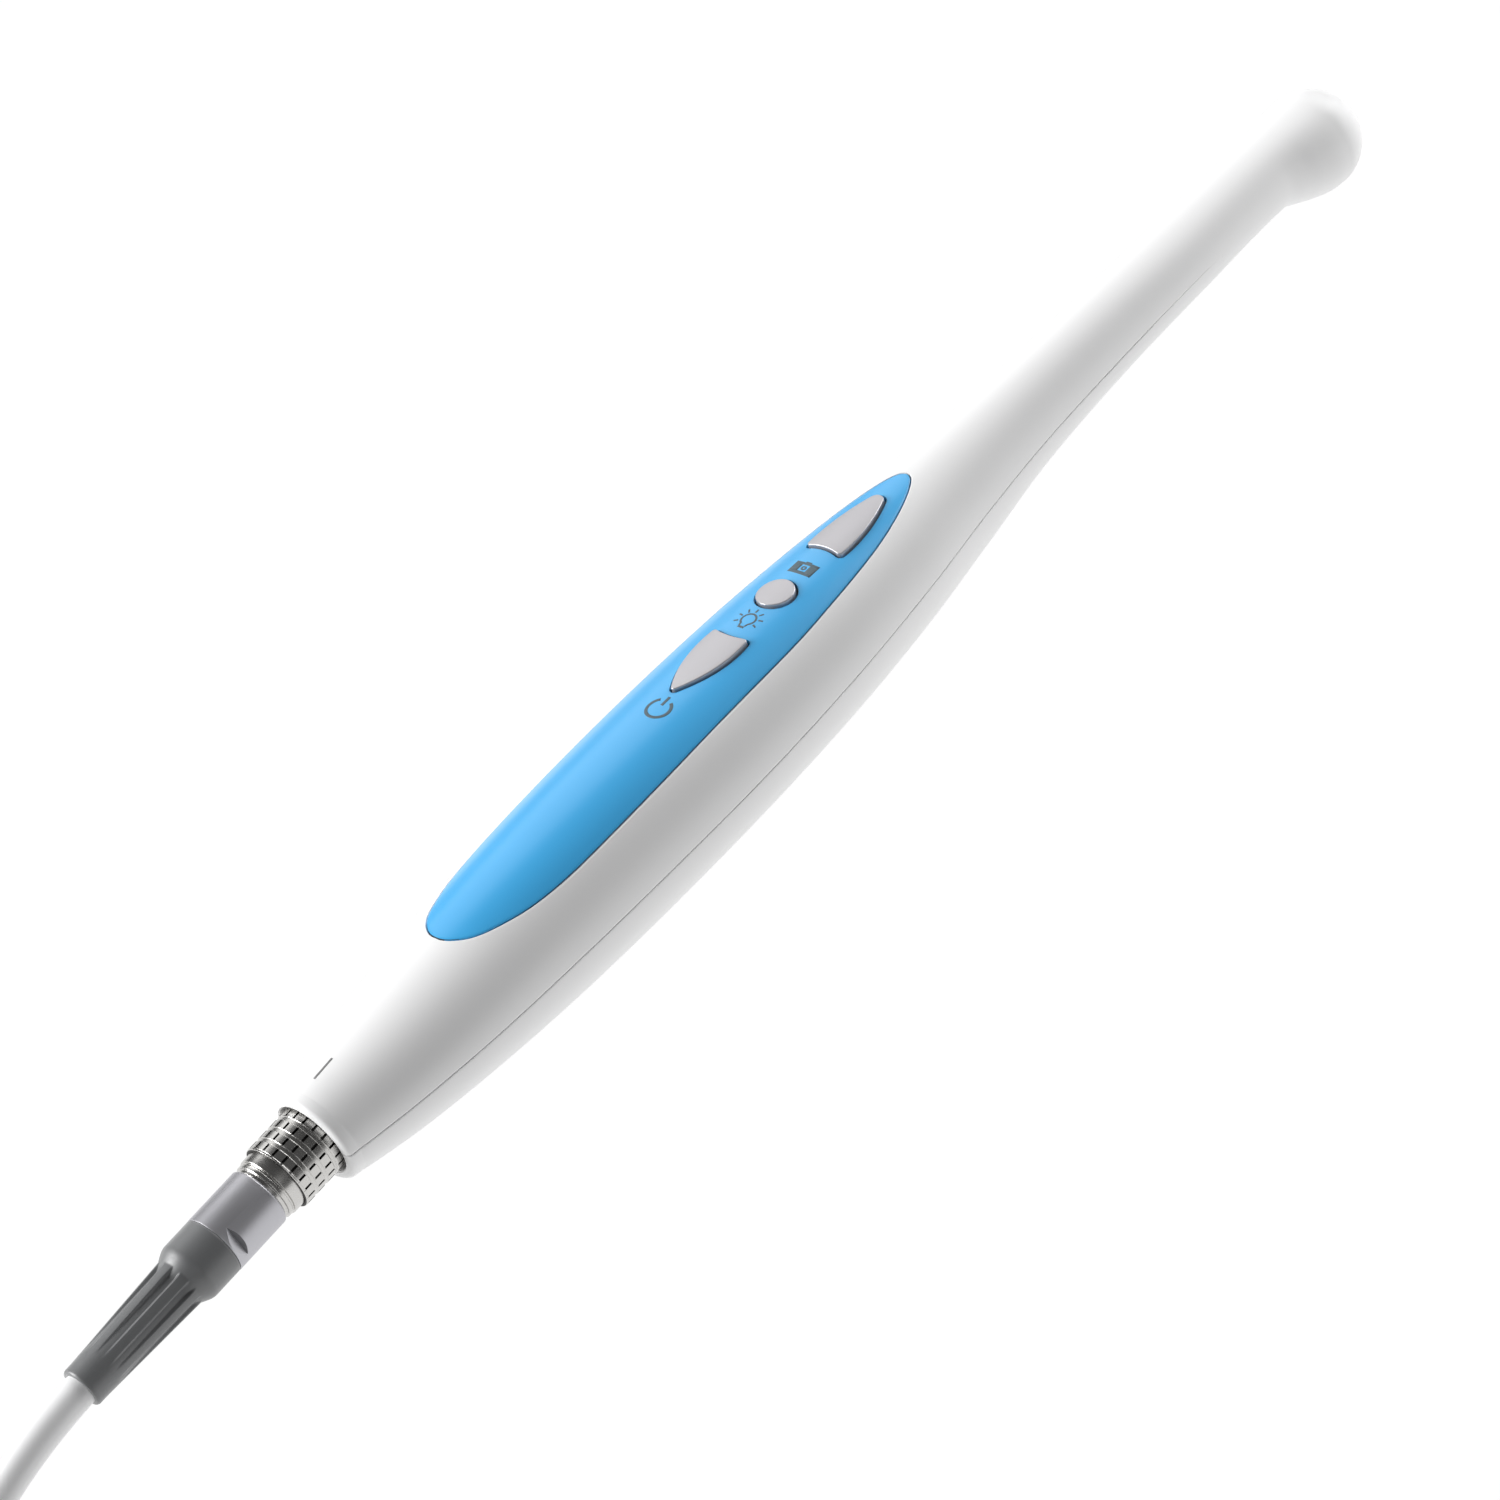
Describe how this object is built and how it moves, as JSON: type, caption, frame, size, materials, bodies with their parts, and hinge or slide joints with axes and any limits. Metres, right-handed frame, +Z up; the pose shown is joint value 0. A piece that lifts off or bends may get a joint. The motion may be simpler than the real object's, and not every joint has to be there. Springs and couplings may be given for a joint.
{
  "type": "intraoral camera",
  "caption": "Slim white wired dental handpiece with a round lamp-and-camera head, blue key panel, push-pull plug, ribbed bend relief and a folded computer cord.",
  "frame": {"origin": "under the middle of the handpiece and its plug, on the surface the handpiece lies on", "axes": "+X from the cable end towards the round head, +Y across the handpiece, +Z up, out of the keys"},
  "size_m": [0.3774, 0.0376, 0.0292],
  "materials": {
    "shell_white": "satin",
    "panel_blue": "satin",
    "key_silver": "satin",
    "plastic_black": "matte",
    "silicone_grey": "matte",
    "seal_black": "matte",
    "switch_steel": "satin",
    "board_green": "satin",
    "chip_dark": "satin",
    "header_ivory": "matte",
    "wire_red": "satin",
    "ribbon_amber": "gloss",
    "clear_glass": "polished",
    "lamp_board_white": "satin",
    "lamp_warm": "gloss",
    "bezel_steel": "satin",
    "socket_nickel": "satin",
    "insulator_grey": "matte",
    "contact_gold": "polished",
    "plug_nickel": "polished",
    "collet_brass": "satin",
    "nut_satin": "satin",
    "boot_grey": "matte",
    "cable_white": "satin",
    "tie_grey": "matte",
    "computer_plug_grey": "satin",
    "computer_plug_steel": "satin"
  },
  "bodies": {
    "handpiece": {"upper_shell": "shell_white", "lower_shell": "shell_white", "control_panel": "panel_blue", "key_mat": "silicone_grey", "tact_switches": "switch_steel", "main_board": "board_green", "board_chips": "chip_dark", "board_screws": "switch_steel", "harness_header": "header_ivory", "wire_harness": "wire_red", "ribbon_cable": "ribbon_amber", "sensor_board": "board_green", "image_sensor": "chip_dark", "lens_barrel": "plastic_black", "barrel_lock_ring": "switch_steel", "front_lens": "clear_glass", "rear_lens": "clear_glass", "head_frame": "switch_steel", "lamp_board": "lamp_board_white", "lamps": "lamp_warm", "light_baffle": "plastic_black", "window_gasket": "seal_black", "window_glass": "clear_glass", "window_bezel": "bezel_steel", "receptacle_body": "socket_nickel", "receptacle_insulator": "insulator_grey", "receptacle_contacts": "contact_gold", "receptacle_nut": "socket_nickel", "receptacle_seal": "seal_black"},
    "capture_button": {"capture_key": "key_silver", "capture_plunger": "plastic_black"},
    "light_button": {"light_key": "key_silver", "light_plunger": "plastic_black"},
    "power_button": {"power_key": "key_silver", "power_plunger": "plastic_black"},
    "plug": {"plug_body": "plug_nickel", "plug_insulator": "insulator_grey", "plug_pins": "contact_gold", "latch_ring": "plug_nickel", "plug_seal": "seal_black", "cable_collet": "collet_brass", "collet_nut": "nut_satin", "bend_relief": "boot_grey", "cable_lead": "cable_white", "cable_hank": "cable_white", "cable_tail": "cable_white", "hank_tie": "tie_grey", "usb_strain_relief": "computer_plug_grey", "usb_housing": "computer_plug_grey", "usb_shell": "computer_plug_steel", "usb_tongue": "plastic_black"},
    "sleeve": {"release_sleeve": "plug_nickel"}
  },
  "joints": [
    {"name": "capture_press", "type": "slide", "parent": "handpiece", "child": "capture_button", "axis": [-0.0647, 0, -0.9979], "range_m": [0, 0.0005], "stiffness_N_per_m": 1500, "springref_m": -0.0006},
    {"name": "light_press", "type": "slide", "parent": "handpiece", "child": "light_button", "axis": [-0.0577, 0, -0.9983], "range_m": [0, 0.0005], "stiffness_N_per_m": 1500, "springref_m": -0.0006},
    {"name": "power_press", "type": "slide", "parent": "handpiece", "child": "power_button", "axis": [-0.0454, 0, -0.999], "range_m": [0, 0.0005], "stiffness_N_per_m": 1500, "springref_m": -0.0006},
    {"name": "plug_pull", "type": "slide", "parent": "handpiece", "child": "plug", "axis": [-0.9997, 0, -0.0262], "range_m": [0, 0.012]},
    {"name": "sleeve_release", "type": "slide", "parent": "plug", "child": "sleeve", "axis": [-0.9997, 0, -0.0262], "range_m": [0, 0.001], "stiffness_N_per_m": 2500, "springref_m": -0.0008}
  ]
}
